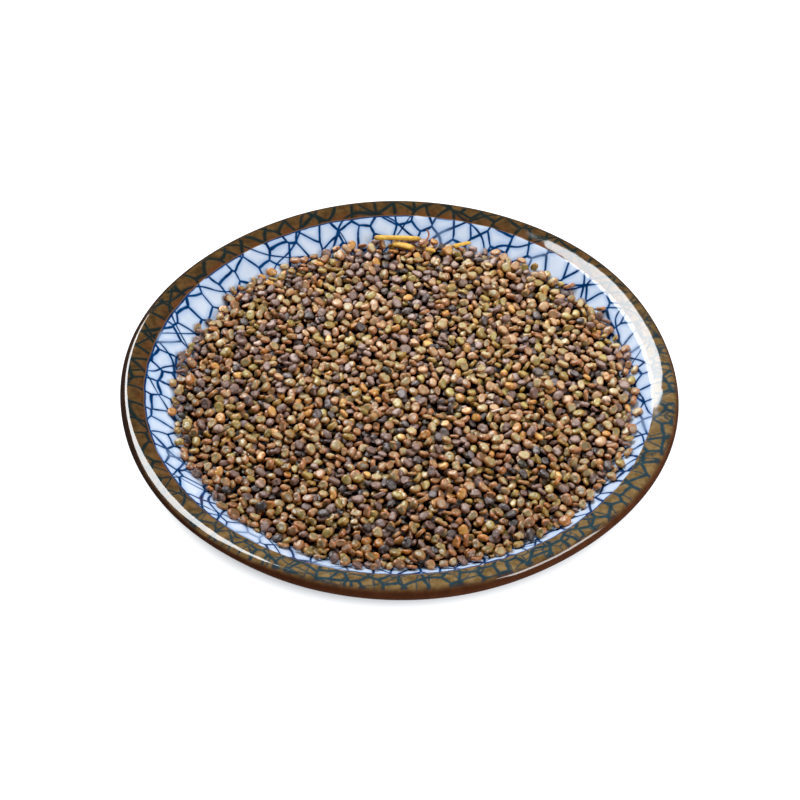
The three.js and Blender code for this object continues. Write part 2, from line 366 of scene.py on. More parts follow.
class Heap:
    """The poured seeds: their shapes and places, and the height of the top everywhere.

    A stamp is one of the shapes at one of its turns, as a patch of the grid.
    """

    def __init__(self, random):
        self.shapes = seed_shapes(SHAPES, random)
        self.turns = tilted_turns(SHAPES * TURNS, random)
        self.middle = PATCH // 2
        self.stamp_seeds()
        reach = HEAP_RADIUS + 2.4
        self.cells = int(2 * reach / GRID)
        axis = (np.arange(self.cells) - self.cells / 2) * GRID
        grid_x, grid_y = np.meshgrid(axis, axis)
        self.target = target_level(grid_x, grid_y).astype(np.float32)
        wall = wall_height(np.hypot(grid_x, grid_y))
        self.inside = wall < self.target - 0.3
        self.height = np.maximum(self.target - SEED_DEPTH, wall).astype(np.float32)
        self.windows = np.lib.stride_tricks.sliding_window_view(self.height, (PATCH, PATCH))
        self.pour(random)

    def stamp_seeds(self):
        """The under and upper surfaces of each shape at each of its turns, on the grid."""
        dense_turn, dense_rise = np.meshgrid(
            np.linspace(0, 2 * math.pi, 56, endpoint=False), np.linspace(-math.pi / 2, math.pi / 2, 33)
        )
        surface = seed_points(self.shapes, dense_turn.ravel(), dense_rise.ravel())
        count = SHAPES * TURNS
        self.low = np.full((count, PATCH, PATCH), 99.0, np.float32)
        self.high = np.full((count, PATCH, PATCH), -99.0, np.float32)
        for stamp in range(count):
            points = surface[stamp // TURNS] @ self.turns[stamp].T
            column = np.rint(points[:, 0] / GRID).astype(int) + self.middle
            row = np.rint(points[:, 1] / GRID).astype(int) + self.middle
            np.minimum.at(self.low[stamp], (row, column), points[:, 2])
            np.maximum.at(self.high[stamp], (row, column), points[:, 2])
        self.bottom = self.low.min((1, 2))

    def cell(self, millimetres):
        return np.rint(millimetres / GRID + self.cells / 2).astype(int)

    def drop(self, column, row, stamp):
        """Heights at which these stamps, centred on these cells, come to rest."""
        return (self.windows[row - self.middle, column - self.middle] - self.low[stamp]).max((1, 2))

    def pour(self, random):
        """Drops seeds one by one, each into the lowest place of a few tried, until the top is level."""
        owner = np.full(self.height.shape, -1, np.int32)
        placed = []
        fill, wanted = float(self.height[self.inside].mean()), float(self.target[self.inside].mean())
        area = int(self.inside.sum())
        while fill < wanted and len(placed) < MOST_SEEDS:
            spot = np.sqrt(random.random(PLACES_TRIED)) * (HEAP_RADIUS - 0.4)
            way = random.uniform(0, 2 * math.pi, PLACES_TRIED)
            column, row = (self.cell(part) for part in round_points(spot, way))
            shape = int(random.integers(SHAPES))
            stamp = shape * TURNS + random.integers(TURNS, size=PLACES_TRIED)
            rest = self.drop(column, row, stamp)
            best = int(np.argmin(rest + 0.6 * self.bottom[stamp] - self.target[row, column]))
            column, row, stamp, rest = column[best], row[best], stamp[best], rest[best]
            for near in ROLLS:  # it rolls and turns into the nearest hollow
                columns = column + random.integers(-near, near + 1, MOVES_TRIED)
                rows = row + random.integers(-near, near + 1, MOVES_TRIED)
                turned = shape * TURNS + random.integers(TURNS, size=MOVES_TRIED)
                stamps = np.where(random.random(MOVES_TRIED) < SAME_TURN, stamp, turned)
                rests = self.drop(columns, rows, stamps)
                worth = rests + 0.5 * self.bottom[stamps]
                best = int(np.argmin(worth))
                if worth[best] < rest + 0.5 * self.bottom[stamp]:
                    column, row, stamp, rest = columns[best], rows[best], stamps[best], rests[best]
            top = rest + self.high[stamp]
            window = (
                slice(row - self.middle, row + self.middle + 1),
                slice(column - self.middle, column + self.middle + 1),
            )
            above = top > self.height[window]
            fill += float(((top - self.height[window]) * above * self.inside[window]).sum()) / area
            self.height[window] = np.where(above, top, self.height[window])
            owner[window] = np.where(above, len(placed), owner[window])
            placed.append((stamp, (column - self.cells / 2) * GRID, (row - self.cells / 2) * GRID, rest))

        shown = np.bincount(owner[owner >= 0], minlength=len(placed))
        kept = np.nonzero(shown >= LEAST_SHOWN)[0]
        placed = np.array(placed)[kept]
        stamp = placed[:, 0].astype(int)
        self.shown = shown[kept] * GRID * GRID  # each seed's visible area from above, square millimetres
        self.shape_of, self.turn_of, self.centre_of = stamp // TURNS, self.turns[stamp], placed[:, 1:]

    def top(self, x, y, reach=0.4):
        """Height of the highest point within reach of a place."""
        span = max(1, round(reach / GRID))
        column, row = int(self.cell(x)), int(self.cell(y))
        return float(self.height[row - span : row + span + 1, column - span : column + span + 1].max())

    def nearest(self, x, y):
        """The seed that shows best near a place."""
        away = np.hypot(self.centre_of[:, 0] - x, self.centre_of[:, 1] - y)
        return int(np.argmax(self.shown - 4 * np.maximum(away - 0.8, 0)))


# ---------------------------------------------------------------- materials
class Shader:
    """Builds a material's nodes with few words."""

    def __init__(self, name):
        self.material = bpy.data.materials.new(name)
        self.material.use_nodes = True
        self.tree = self.material.node_tree
        self.surface = self.tree.nodes["Principled BSDF"]

    def set(self, socket, value):
        if isinstance(value, bpy.types.NodeSocket):
            self.tree.links.new(value, socket)
        elif isinstance(value, tuple) and len(value) == 3 and len(getattr(socket, "default_value", ())) == 4:
            socket.default_value = (*value, 1)
        else:
            socket.default_value = value

    def cover(self, values):
        """Sets the surface's sockets by name."""
        for name, value in values.items():
            self.set(self.surface.inputs[name], value)

    def node(self, kind, out=0, inputs=None, **settings):
        node = self.tree.nodes.new(kind)
        for key, value in settings.items():
            setattr(node, key, value)
        for key, value in (inputs or {}).items():
            self.set(node.inputs[key], value)
        return node.outputs[out]

    def math(self, operation, *values):
        return self.node("ShaderNodeMath", inputs=dict(enumerate(values)), operation=operation)

    def add(self, *values):
        return functools.reduce(functools.partial(self.math, "ADD"), values)

    def less(self, first, second):
        return self.math("SUBTRACT", first, second)

    def times(self, *values):
        return functools.reduce(functools.partial(self.math, "MULTIPLY"), values)

    def about(self, value, size):
        """A value between 0 and 1 turned into one between -size and size."""
        return self.math("MULTIPLY_ADD", value, 2 * size, -size)

    def vector(self, operation, *values):
        node = self.tree.nodes.new("ShaderNodeVectorMath")
        node.operation = operation
        sockets = [node.inputs[0], node.inputs["Scale"]] if operation == "SCALE" else node.inputs
        for socket, value in zip(sockets, values):
            self.set(socket, value)
        return node.outputs["Value" if operation in ("LENGTH", "DISTANCE", "DOT_PRODUCT") else "Vector"]

    def step(self, value, low, high, out_low=0.0, out_high=1.0):
        """Rises smoothly from out_low at low to out_high at high."""
        return self.node(
            "ShaderNodeMapRange",
            0,
            {"Value": value, "From Min": low, "From Max": high, "To Min": out_low, "To Max": out_high},
            interpolation_type="SMOOTHSTEP",
        )

    def mix(self, share, first, second):
        return self.node("ShaderNodeMix", 2, {0: share, 6: first, 7: second}, data_type="RGBA")

    def attribute(self, name, out="Fac"):
        return self.node("ShaderNodeAttribute", out, attribute_name=name)

    def noise(self, place, size, detail=2.0, roughness=0.5, out="Fac"):
        """Noise with features of about size, in the units of place."""
        return self.node(
            "ShaderNodeTexNoise",
            out,
            {"Vector": place, "Scale": 1 / size, "Detail": detail, "Roughness": roughness},
        )

    def bump(self, height, strength, distance):
        return self.node(
            "ShaderNodeBump", "Normal", {"Height": height, "Strength": strength, "Distance": distance * MM}
        )


def srgb(*colour):
    """A colour as a picture editor gives it, 0 to 255, in Blender's linear values."""
    return tuple(((c / 255 + 0.055) / 1.055) ** 2.4 if c > 10 else c / 255 / 12.92 for c in colour)


def pattern_shift(seed):
    """Far enough along a noise that a pattern there is another one."""
    return 13.7 * seed, 7.1 * seed, 3.3 * seed


LINE_RADIUS = 54.0  # where the painted lines' spacing is reckoned
LIP_EDGE_AT = (  # arc length from the foot of the lip's inner face to the outer end of its top
    ROUND_LIP.face * (LIP_FACE_TILT[1] - LIP_FACE_TILT[0])
    + LIP_CREST_CURVE * LIP_FACE_TILT[0]
    + ROUND_LIP.shoulder * ROUND_LIP.outer_tilt
)
# the net of painted lines: size of a cell round the dish, its squeeze along the wall, bend and half width
NET = dict(cell=4.3, squeeze=0.74, bend=2.6, half=0.24)
LIP_NET = dict(cell=3.5, squeeze=0.9, bend=2.0, half=0.26)  # another over the lip's front
# long lines across it: how many round the dish, slant in cells for each mm, half width
STRANDS = ((27, 0.10, 0.22), (21, -0.07, 0.22))
# the glaze's colours, each between two as a picture editor gives them; the lip differs from back to front
GLAZE_SHADES = dict(
    white=((188, 200, 218), (200, 210, 225)),
    blue=((0, 40, 82), (4, 58, 108)),
    back_brown=((60, 43, 24), (96, 71, 41)),
    front_brown=((88, 68, 38), (130, 106, 70)),
    back_teal=((8, 24, 26), (20, 42, 44)),
    front_teal=((4, 36, 50), (28, 66, 78)),
    back_edge=((30, 20, 16), (56, 38, 30)),
    front_edge=((54, 29, 19), (92, 54, 34)),
    clay=((186, 170, 150), (214, 202, 184)),
)


class Glaze(Shader):
    """Bluish white glaze with painted crackle lines; a brown glaze over the lip, bare clay under the foot.

    along holds the arc lengths between which the clay is bare.
    """

    def __init__(self, name, along):
        super().__init__(name)
        self.place = self.attribute("place", "Vector")
        self.along = self.attribute("along")
        self.heading = self.vector("NORMALIZE", self.vector("MULTIPLY", self.place, (1, 1, 0)))
        parts = self.tree.nodes.new("ShaderNodeSeparateXYZ")
        self.set(parts.inputs[0], self.heading)
        self.angle = self.math("ARCTAN2", parts.outputs[1], parts.outputs[0])
        # how far out a point would be if the dish were pressed flat, inside and outside on each other
        beyond = self.math("ABSOLUTE", self.less(self.along, LIP_EDGE_AT))
        self.out = self.less(LIP_EDGE_AT, beyond)
        self.paint(along)

    def shades(self, name, share):
        first, second = GLAZE_SHADES[name]
        return self.mix(share, srgb(*first), srgb(*second))

    def net(self, cell, squeeze, bend, half, seed):
        """How far, in mm, a point is outside the nearest line of a net of uneven cells."""
        shift = pattern_shift(seed)
        flat = self.vector("SCALE", self.heading, self.add(self.times(self.out, squeeze), LINE_RADIUS))
        sway = self.noise(self.vector("ADD", self.place, shift), 7.5, detail=0.6, out="Color")
        sway = self.vector("SUBTRACT", sway, (0.5, 0.5, 0.5))
        flat = self.vector("ADD", flat, self.vector("SCALE", sway, bend))
        edge = self.node(
            "ShaderNodeTexVoronoi",
            "Distance",
            {"Vector": self.vector("ADD", flat, shift), "Scale": 1 / cell, "Randomness": 0.92},
            voronoi_dimensions="2D",
            feature="DISTANCE_TO_EDGE",
        )
        return self.add(self.times(edge, cell), -half)

    def strands(self, count, slant, half, seed):
        """How far, in mm, a point is outside the nearest of count long lines."""
        shift = pattern_shift(seed)
        cells = count / (2 * math.pi)
        rim_place = self.vector("SCALE", self.heading, cells / 1.6)
        jitter = self.noise(self.vector("ADD", rim_place, shift), 1.0, detail=0.0)
        low_place = self.vector("MULTIPLY", self.place, (1, 1, 0.4))
        bend = self.noise(self.vector("ADD", low_place, shift), 11.0, detail=0.4)
        even = self.add(self.times(self.angle, cells), self.times(self.out, slant))
        phase = self.add(even, self.about(jitter, 0.6), self.about(bend, 0.5))
        index = self.math("FLOORED_MODULO", self.math("FLOOR", phase), float(count))
        number = {"W": self.add(index, 100.0 * seed + 0.5)}
        chance = self.node("ShaderNodeTexWhiteNoise", "Value", number, noise_dimensions="1D")
        gone = self.times(self.math("LESS_THAN", chance, 0.15), 5.0)  # some are left out
        away = self.math("ABSOLUTE", self.less(self.math("FRACT", phase), 0.5))
        mm = self.times(away, 1 / math.hypot(cells / LINE_RADIUS, slant))
        return self.add(mm, gone, -half)

    def uneven(self, feature, size):
        """Up to size more or less, in features of about this width."""
        return self.about(self.noise(self.place, feature), size)

    def towards(self, way, low, high):
        """0 to 1 over the part of the dish that lies this way."""
        return self.step(self.vector("DOT_PRODUCT", self.heading, way), low, high)

    def paint(self, along):
        place, at = self.place, self.along
        # the lip towards the front and the right is paler, and its lines have run more
        front = self.towards((0.55, -0.83, 0), -0.25, 0.65)
        back = self.less(1.0, front)
        right = self.towards((0.94, 0.34, 0), 0.5, 0.8)

        # how far a point is outside the painted lines, on the white and on the lip
        brush = self.noise(place, 2.4, detail=1.5)
        lines = self.net(seed=1, **NET)
        for seed, (count, slant, half) in enumerate(STRANDS):
            lines = self.math("SMOOTH_MIN", lines, self.strands(count, slant, half, seed + 1), 0.25)
        start = self.add(at, self.uneven(4.0, 0.3), -0.15)  # past the inner edge of the brown
        gap = self.noise(self.vector("SCALE", self.heading, 4.0), 1.0, detail=0.0)
        gap = self.step(gap, 0.36, 0.42, 2.0, 0.0)
        left = self.towards((-1.0, -0.08, 0), 0.55, 0.85)
        gap = self.times(gap, self.less(1.0, left))
        hem = self.math("ABSOLUTE", self.add(start, 0.1))  # a line along the inner edge of the brown
        hem = self.add(hem, gap, self.times(right, 2.0), self.times(left, -0.1), -0.17)
        lines = self.math("SMOOTH_MIN", lines, hem, 0.2)
        lip_net = self.add(self.net(seed=5, **LIP_NET), self.times(back, 0.5))
        lip_lines = self.math("SMOOTH_MIN", self.add(lines, self.times(front, 0.2)), lip_net, 0.25)

        # how strong the lines are: the white's are sharp, and faint in places as a painted reflection that
        # washes them pale; the lip's have run
        uneven = self.about(brush, 0.12)
        rim_place = self.vector("ADD", self.vector("SCALE", self.heading, 3.0), (4.0, 0.0, 0.0))
        # painted reflection: where this noise is high the lines are made fainter, as if washed pale by a
        # reflection in the glaze
        faint = self.step(self.noise(rim_place, 1.0), 0.56, 0.68, 1.0, 0.45)
        painted = self.times(self.step(self.add(lines, uneven), -0.09, 0.14, 1.0, 0.0), faint)
        halo = self.step(lines, 0.0, 1.1, 0.6, 0.0)
        run = self.times(self.add(self.uneven(1.0, 0.22), 0.04), front)
        soft = self.add(self.times(back, 0.10), 0.26)
        spread = self.step(self.less(self.add(lip_lines, uneven), run), -0.12, soft, 1.0, 0.0)

        # the white glaze with its lines, each in a pale blue halo
        white = self.shades("white", self.step(self.noise(place, 5.0, detail=2.0), 0.3, 0.7))
        white = self.mix(halo, white, srgb(138, 168, 208))
        blue = self.shades("blue", self.step(brush, 0.3, 0.7))
        clear = self.mix(painted, white, blue)

        # the brown glaze, rusty near its inner edge, with teal lines that end before the lip's edge
        mottle = self.noise(place, 2.2, detail=5.0, roughness=0.65)
        spots = self.step(mottle, 0.3, 0.7)
        back_brown, front_brown = self.shades("back_brown", spots), self.shades("front_brown", spots)
        rust = self.times(self.step(at, 2.6, 0.2), self.step(brush, 0.35, 0.6), back, 0.6)
        back_brown = self.mix(rust, back_brown, srgb(102, 54, 28))
        brown = self.mix(front, back_brown, front_brown)
        teal = self.mix(front, self.shades("back_teal", brush), self.shades("front_teal", brush))
        ends = self.less(self.add(at, self.uneven(1.6, 0.8)), self.times(front, 0.8))
        fade = self.step(ends, LIP_EDGE_AT + 0.2, LIP_EDGE_AT - 0.6)
        fade = self.times(fade, self.step(mottle, 0.2, 0.45, 0.6, 0.92))
        lip = self.mix(self.times(spread, fade), brown, teal)
        # the outermost edge is plain and darker
        outward = self.add(at, self.uneven(6.0, 0.25), self.times(front, -0.8))
        plain = self.step(outward, self.add(self.times(front, -0.7), LIP_EDGE_AT - 0.4), LIP_EDGE_AT + 0.5)
        edge = self.mix(front, self.shades("back_edge", mottle), self.shades("front_edge", mottle))
        lip = self.mix(plain, lip, edge)
        # a thin rusty line where the two glazes meet
        meeting = self.times(self.step(start, -0.25, 0.0), self.step(start, 0.08, 0.38, 1.0, 0.0))
        lip = self.mix(self.times(meeting, 0.45), lip, srgb(140, 96, 52))
        # the brown goes round the edge and a little way in under the lip
        brown_end = LIP_EDGE_AT + ROUND_LIP.edge * math.radians(153) + 1.6
        under = self.step(start, brown_end, brown_end + 0.5, 1.0, 0.0)
        colour = self.mix(self.times(self.step(start, -0.12, 0.12), under), clear, lip)

        # pinholes and specks of iron
        speck = self.node("ShaderNodeTexVoronoi", "Distance", {"Vector": place, "Scale": 1 / 3.4})
        rare = self.step(self.noise(place, 5.5, detail=0.0), 0.60, 0.64)
        speck = self.times(self.step(speck, 0.030, 0.055, 0.8, 0.0), rare)
        colour = self.mix(speck, colour, srgb(60, 36, 20))

        # bare clay where the foot ring stands
        foot_low, foot_high = along
        bare = self.step(at, foot_low, foot_low + 0.3)
        bare = self.times(bare, self.step(at, foot_high, foot_high + 0.3, 1.0, 0.0))
        colour = self.mix(bare, colour, self.shades("clay", self.noise(place, 0.8, detail=5.0)))
        self.cover({
            "Base Color": colour,
            "Roughness": self.step(bare, 0.0, 1.0, 0.07, 0.75),
            "IOR": 1.56,
            "Normal": self.bump(self.noise(place, 6.0, detail=1.0), 0.30, 0.35),
        })  # fmt: skip


def seed_material(name, kind):
    """A dry seed coat: darker and redder at the rim, a scar in the notch, specks and clouds in between, and
    painted shade where it lies deep under the top.
    """
    s = Shader(name)
    tone, rim, number = (s.attribute(key) for key in ("tone", "rim", "number"))
    place = s.attribute("local", "Vector")
    own = s.vector("ADD", place, s.vector("SCALE", (17.0, 5.0, 29.0), number))

    dark, middle, light = (srgb(*colour) for colour in kind["tones"])
    coat = s.mix(s.step(tone, 0.5, 1.0), s.mix(s.step(tone, 0.0, 0.5), dark, middle), light)
    cloud = s.noise(own, 0.9, detail=3.0, roughness=0.6)
    coat = s.mix(s.step(cloud, 0.38, 0.78, 0.0, 0.45), coat, dark)
    patch = s.noise(s.vector("ADD", own, (5.0, 5.0, 5.0)), 0.6, detail=2.0)
    coat = s.mix(s.step(patch, 0.5, 0.75, 0.0, 0.45), coat, light)
    coat = s.mix(s.step(rim, 0.52, 0.98, 0.0, 0.78), coat, srgb(*kind["edge"]))
    fleck = s.noise(own, 0.16, detail=2.0)
    spots = srgb(*kind.get("spots", kind["tones"][2]))
    coat = s.mix(s.step(fleck, 0.56, 0.72, 0.0, kind.get("fleck", 0.3)), coat, spots)
    scar = s.step(s.vector("DISTANCE", place, (0, -0.8, 0)), 0.10, 0.40, 0.7, 0.0)
    coat = s.mix(scar, coat, srgb(*kind["scar"]))
    painted_shade = s.step(s.attribute("deep"), 0.3, 1.5, 0.0, 0.85)  # painted shade: darker the deeper a point lies under the seeds' top
    rough = s.add(s.noise(own, 0.45, detail=2.5), s.times(fleck, 0.3))
    s.cover({
        "Base Color": s.mix(painted_shade, coat, srgb(14, 8, 5)),
        "Roughness": kind.get("roughness", 0.33),
        "IOR": 1.68,
        "Subsurface Weight": 0.12,
        "Subsurface Radius": (1.0, 0.4, 0.15),
        "Subsurface Scale": 0.5 * MM,
        "Normal": s.bump(rough, kind.get("wrinkle", 0.65), 0.16),
    })  # fmt: skip
    return s.material


# share of the seeds, tones from dark to light, colours of rim and scar, how rough and flecked each is
SEED_KINDS = {
    "khaki": dict(share=0.27, tones=((103, 84, 55), (156, 137, 96), (196, 178, 133)),
                  edge=(168, 108, 52), scar=(111, 64, 36)),
    "tan": dict(share=0.23, tones=((106, 75, 48), (160, 124, 88), (203, 168, 128)),
                edge=(162, 96, 50), scar=(112, 57, 34)),
    "mauve": dict(share=0.19, tones=((79, 59, 53), (130, 105, 94), (176, 151, 140)),
                  edge=(110, 72, 56), scar=(62, 38, 31), roughness=0.45, wrinkle=1.0),
    "olive": dict(share=0.14, tones=((103, 86, 46), (152, 134, 77), (192, 175, 112)),
                  edge=(158, 112, 44), scar=(117, 68, 35)),
    "umber": dict(share=0.07, tones=((37, 29, 27), (78, 66, 62), (132, 119, 116)),
                  edge=(54, 39, 34), scar=(23, 16, 15), roughness=0.4, wrinkle=1.1, fleck=0.5,
                  spots=(155, 145, 140)),
    "amber": dict(share=0.065, tones=((142, 90, 40), (195, 143, 72), (228, 189, 116)),
                  edge=(175, 103, 44), scar=(145, 74, 37)),
    "pale": dict(share=0.0, tones=((150, 120, 102), (206, 176, 156), (232, 212, 196)),
                 edge=(196, 160, 140), scar=(150, 110, 90), wrinkle=1.0),
    "mottled": dict(share=0.0, tones=((12, 10, 9), (22, 18, 15), (46, 38, 30)),
                    edge=(24, 18, 15), scar=(10, 8, 8), roughness=0.5, wrinkle=1.6, fleck=1.0,
                    spots=(214, 200, 170)),
}  # fmt: skip
# seeds that stand out in the photograph, near these places
ODD_SEEDS = {
    "pale": ((-29.9, -29.0), (-37.6, -14.2), (-31.8, 14.7)),
    "mottled": ((25.2, -24.3), (-2.4, 3.9), (6.2, -12.5)),
}
# painted light and shade: how much paler the seeds are made in the middle, and for each mm to the right and
# to the back, where more light falls, and how much darker for each square mm outwards, as painted shade
# towards the wall
PAINTED_LIGHT_DRIFT = (0.24, 0.0042, 0.0060, 0.00012)
WELL_SHOWN = 0.9  # square mm that show from above, and seeds that show less have a coarser mesh
SEED_MESHES = ((16, 6), (12, 4))  # sides and rings of both


def seed_grid(sides, rings):
    """The angles of one seed's mesh, its faces, and its corners on a tile: upper half left, lower right."""
    turn_grid = np.arange(sides) / sides * 2 * math.pi
    rise_grid = np.linspace(-math.pi / 2, math.pi / 2, rings + 2)[1:-1]
    turn, rise = (grid.ravel() for grid in np.meshgrid(turn_grid, rise_grid))
    turn, rise = np.r_[0.0, turn, 0.0], np.r_[-math.pi / 2, rise, math.pi / 2]
    faces = [(0, 1 + (i + 1) % sides, 1 + i) for i in range(sides)]
    for ring in range(rings - 1):
        faces += band(1 + ring * sides, 1 + (ring + 1) * sides, sides)
    last = 1 + (rings - 1) * sides
    faces += [(last + i, last + (i + 1) % sides, len(turn) - 1) for i in range(sides)]
    corners = []
    for face in faces:
        across = 0.25 if rise[list(face)].mean() > 0 else 0.75
        for vertex in face:
            reach = 0.235 * (1 - abs(rise[vertex]) / (math.pi / 2))
            up = 0.5 + 2 * reach * math.sin(turn[vertex])
            corners.append((across + reach * math.cos(turn[vertex]), up))
    return turn, rise, faces, np.array(corners)


def kinds_of(heap, random):
    """The kind of each seed, by number: mostly by chance, but the odd ones as the photograph has them."""
    kinds = list(SEED_KINDS)
    shares = np.cumsum([SEED_KINDS[kind]["share"] for kind in kinds])
    kind_of = np.searchsorted(shares, random.random(len(heap.shape_of)) * shares[-1])
    for kind, places in ODD_SEEDS.items():
        for x, y in places:
            kind_of[heap.nearest(x, y)] = kinds.index(kind)
    return kind_of


def seed_columns(heap, chosen, tone_of, turn, rise):
    """Vertices of the chosen seeds, and what their material reads there."""
    shape_of = heap.shape_of[chosen]
    own = seed_points({key: value[shape_of] for key, value in heap.shapes.items()}, turn, rise)
    turned = np.einsum("nij,npj->npi", heap.turn_of[chosen], own * SEED_SPACING)
    world = turned + heap.centre_of[chosen][:, None, :]
    return {
        "vertices": world.reshape(-1, 3),
        "local": own.reshape(-1, 3),
        "rim": np.tile(np.cos(rise) ** 0.75, len(own)),
        # how far each point lies under the top, which the material turns into painted shade
        "deep": (target_level(world[..., 0], world[..., 1]) - world[..., 2]).ravel(),
        "tone": np.repeat(tone_of[chosen], len(turn)),
        "number": np.repeat(np.nonzero(chosen)[0] % 251, len(turn)),
    }


def make_seeds(heap, random):
    """One piece for each kind. Every seed has a tile of its own on the piece's UV map."""
    kind_of = kinds_of(heap, random)
    x, y = heap.centre_of[:, 0], heap.centre_of[:, 1]
    paler, to_right, to_back, outward = PAINTED_LIGHT_DRIFT
    # painted light and shade over the heap, added to each seed's random tone
    painted_light = paler + to_right * x + to_back * y - outward * (x**2 + y**2)
    tone_of = random.beta(1.7, 1.7, len(kind_of)) + painted_light
    fine = heap.shown >= WELL_SHOWN
    for index, (kind, traits) in enumerate(SEED_KINDS.items()):
        of_kind = kind_of == index
        count = int(of_kind.sum())
        columns = max(1, math.ceil(math.sqrt(count / 2)))  # tiles are twice as wide as high
        lines = max(1, math.ceil(count / columns))
        parts, faces, corners = [], [], []
        begun, tile = 0, 0
        for grid, chosen in zip(SEED_MESHES, (of_kind & fine, of_kind & ~fine)):
            turn, rise, seed_faces, seed_corners = seed_grid(*grid)
            parts.append(seed_columns(heap, chosen, tone_of, turn, rise))
            for _ in range(int(chosen.sum())):
                faces += [tuple(v + begun for v in face) for face in seed_faces]
                origin = np.array([tile % columns, tile // columns])
                corners.append((origin + seed_corners) / (columns, lines))
                begun += len(turn)
                tile += 1
        whole = {key: np.concatenate([part[key] for part in parts]) for key in parts[0]}
        piece = new_mesh("seeds_" + kind, whole.pop("vertices"), faces)
        put_uv(piece, np.vstack(corners))
        for name, values in whole.items():
            put_attribute(piece, name, values)
        dress(piece, seed_material("coat_" + kind, traits))
        print(piece.name, count, "seeds,", sum(len(face) - 2 for face in faces), "triangles")


# ---------------------------------------------------------------- the dark core under the seeds, painted near black as shade
# painted shade: the core's tones are near black so that the gaps between the seeds look deep in shadow
CORE_SHADE_LOOK = dict(tones=((14, 9, 8), (22, 15, 12), (34, 24, 18)), edge=(20, 14, 10), scar=(20, 12, 10),
                 roughness=0.8, wrinkle=1.0)  # fmt: skip
CORE_GAP = 0.2  # between it and the dish


def make_core():
    """A closed body under the seeds that show, painted near black as the shade between them. It stands for
    the CAD heap.
    """
    sides, rings = 120, 40
    angle = np.arange(sides) / sides * 2 * math.pi
    edge = np.full(sides, HEAP_RADIUS)
    for _ in range(4):  # out to where its top meets the wall
        top = target_level(*round_points(edge, angle)) - SEED_DEPTH
        edge = WALL_TOP[0] - (WALL_TOP[1] - top) / WALL_GRADE
    vertices, faces = [(0, 0, float(target_level(0, 0)) - SEED_DEPTH)], []
    for ring in range(1, rings + 1):
        x, y = round_points(ring / rings * edge, angle)
        vertices += np.c_[x, y, target_level(x, y) - SEED_DEPTH].tolist()
    for radius in (45.0, CURVE_TOP, WELL_RADIUS):
        z = np.full(sides, float(wall_height(radius)) + CORE_GAP)
        vertices += np.c_[(*round_points(radius, angle), z)].tolist()
    vertices.append((0, 0, WELL_FLOOR + CORE_GAP))
    faces += [(0, 1 + i, 1 + (i + 1) % sides) for i in range(sides)]
    for ring in range(rings + 2):
        a, b = 1 + ring * sides, 1 + (ring + 1) * sides
        faces += [(a + i, b + i, b + (i + 1) % sides, a + (i + 1) % sides) for i in range(sides)]
    last, end = 1 + (rings + 2) * sides, len(vertices) - 1
    faces += [(last + i, end, last + (i + 1) % sides) for i in range(sides)]
    core = new_mesh("heap_core", vertices, faces)
    dress(core, seed_material("coat_painted_shade", CORE_SHADE_LOOK))
    put_attribute(core, "local", vertices)
    # deep 1.0 gives the whole core the seeds' painted shade at full strength
    for name, value in (("tone", 0.4), ("rim", 0.0), ("deep", 1.0), ("number", 0.0)):
        put_attribute(core, name, np.full(len(vertices), value))
    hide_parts("seeds")


# ---------------------------------------------------------------- stalks, a twig and chaff
def straw_material(name, pale, deep, across=0.16):
    """Dry stalk: fine fibres along it, browner at the ends."""
    s = Shader(name)
    place = s.attribute("local", "Vector")  # x along, y round
    fibre = s.noise(s.vector("MULTIPLY", place, (0.22, 1.0, 1.0)), across, detail=3.0)
    cloud = s.noise(place, 1.6, detail=2.0)
    grain = s.step(s.add(s.times(fibre, 0.6), s.times(cloud, 0.4)), 0.35, 0.65)
    coat = s.mix(grain, srgb(*deep), srgb(*pale))
    coat = s.mix(s.times(s.attribute("ends"), 0.6), coat, srgb(*(int(c * 0.55) for c in deep)))
    s.cover({"Base Color": coat, "Roughness": 0.45, "Normal": s.bump(fibre, 0.5, 0.12)})
    return s.material


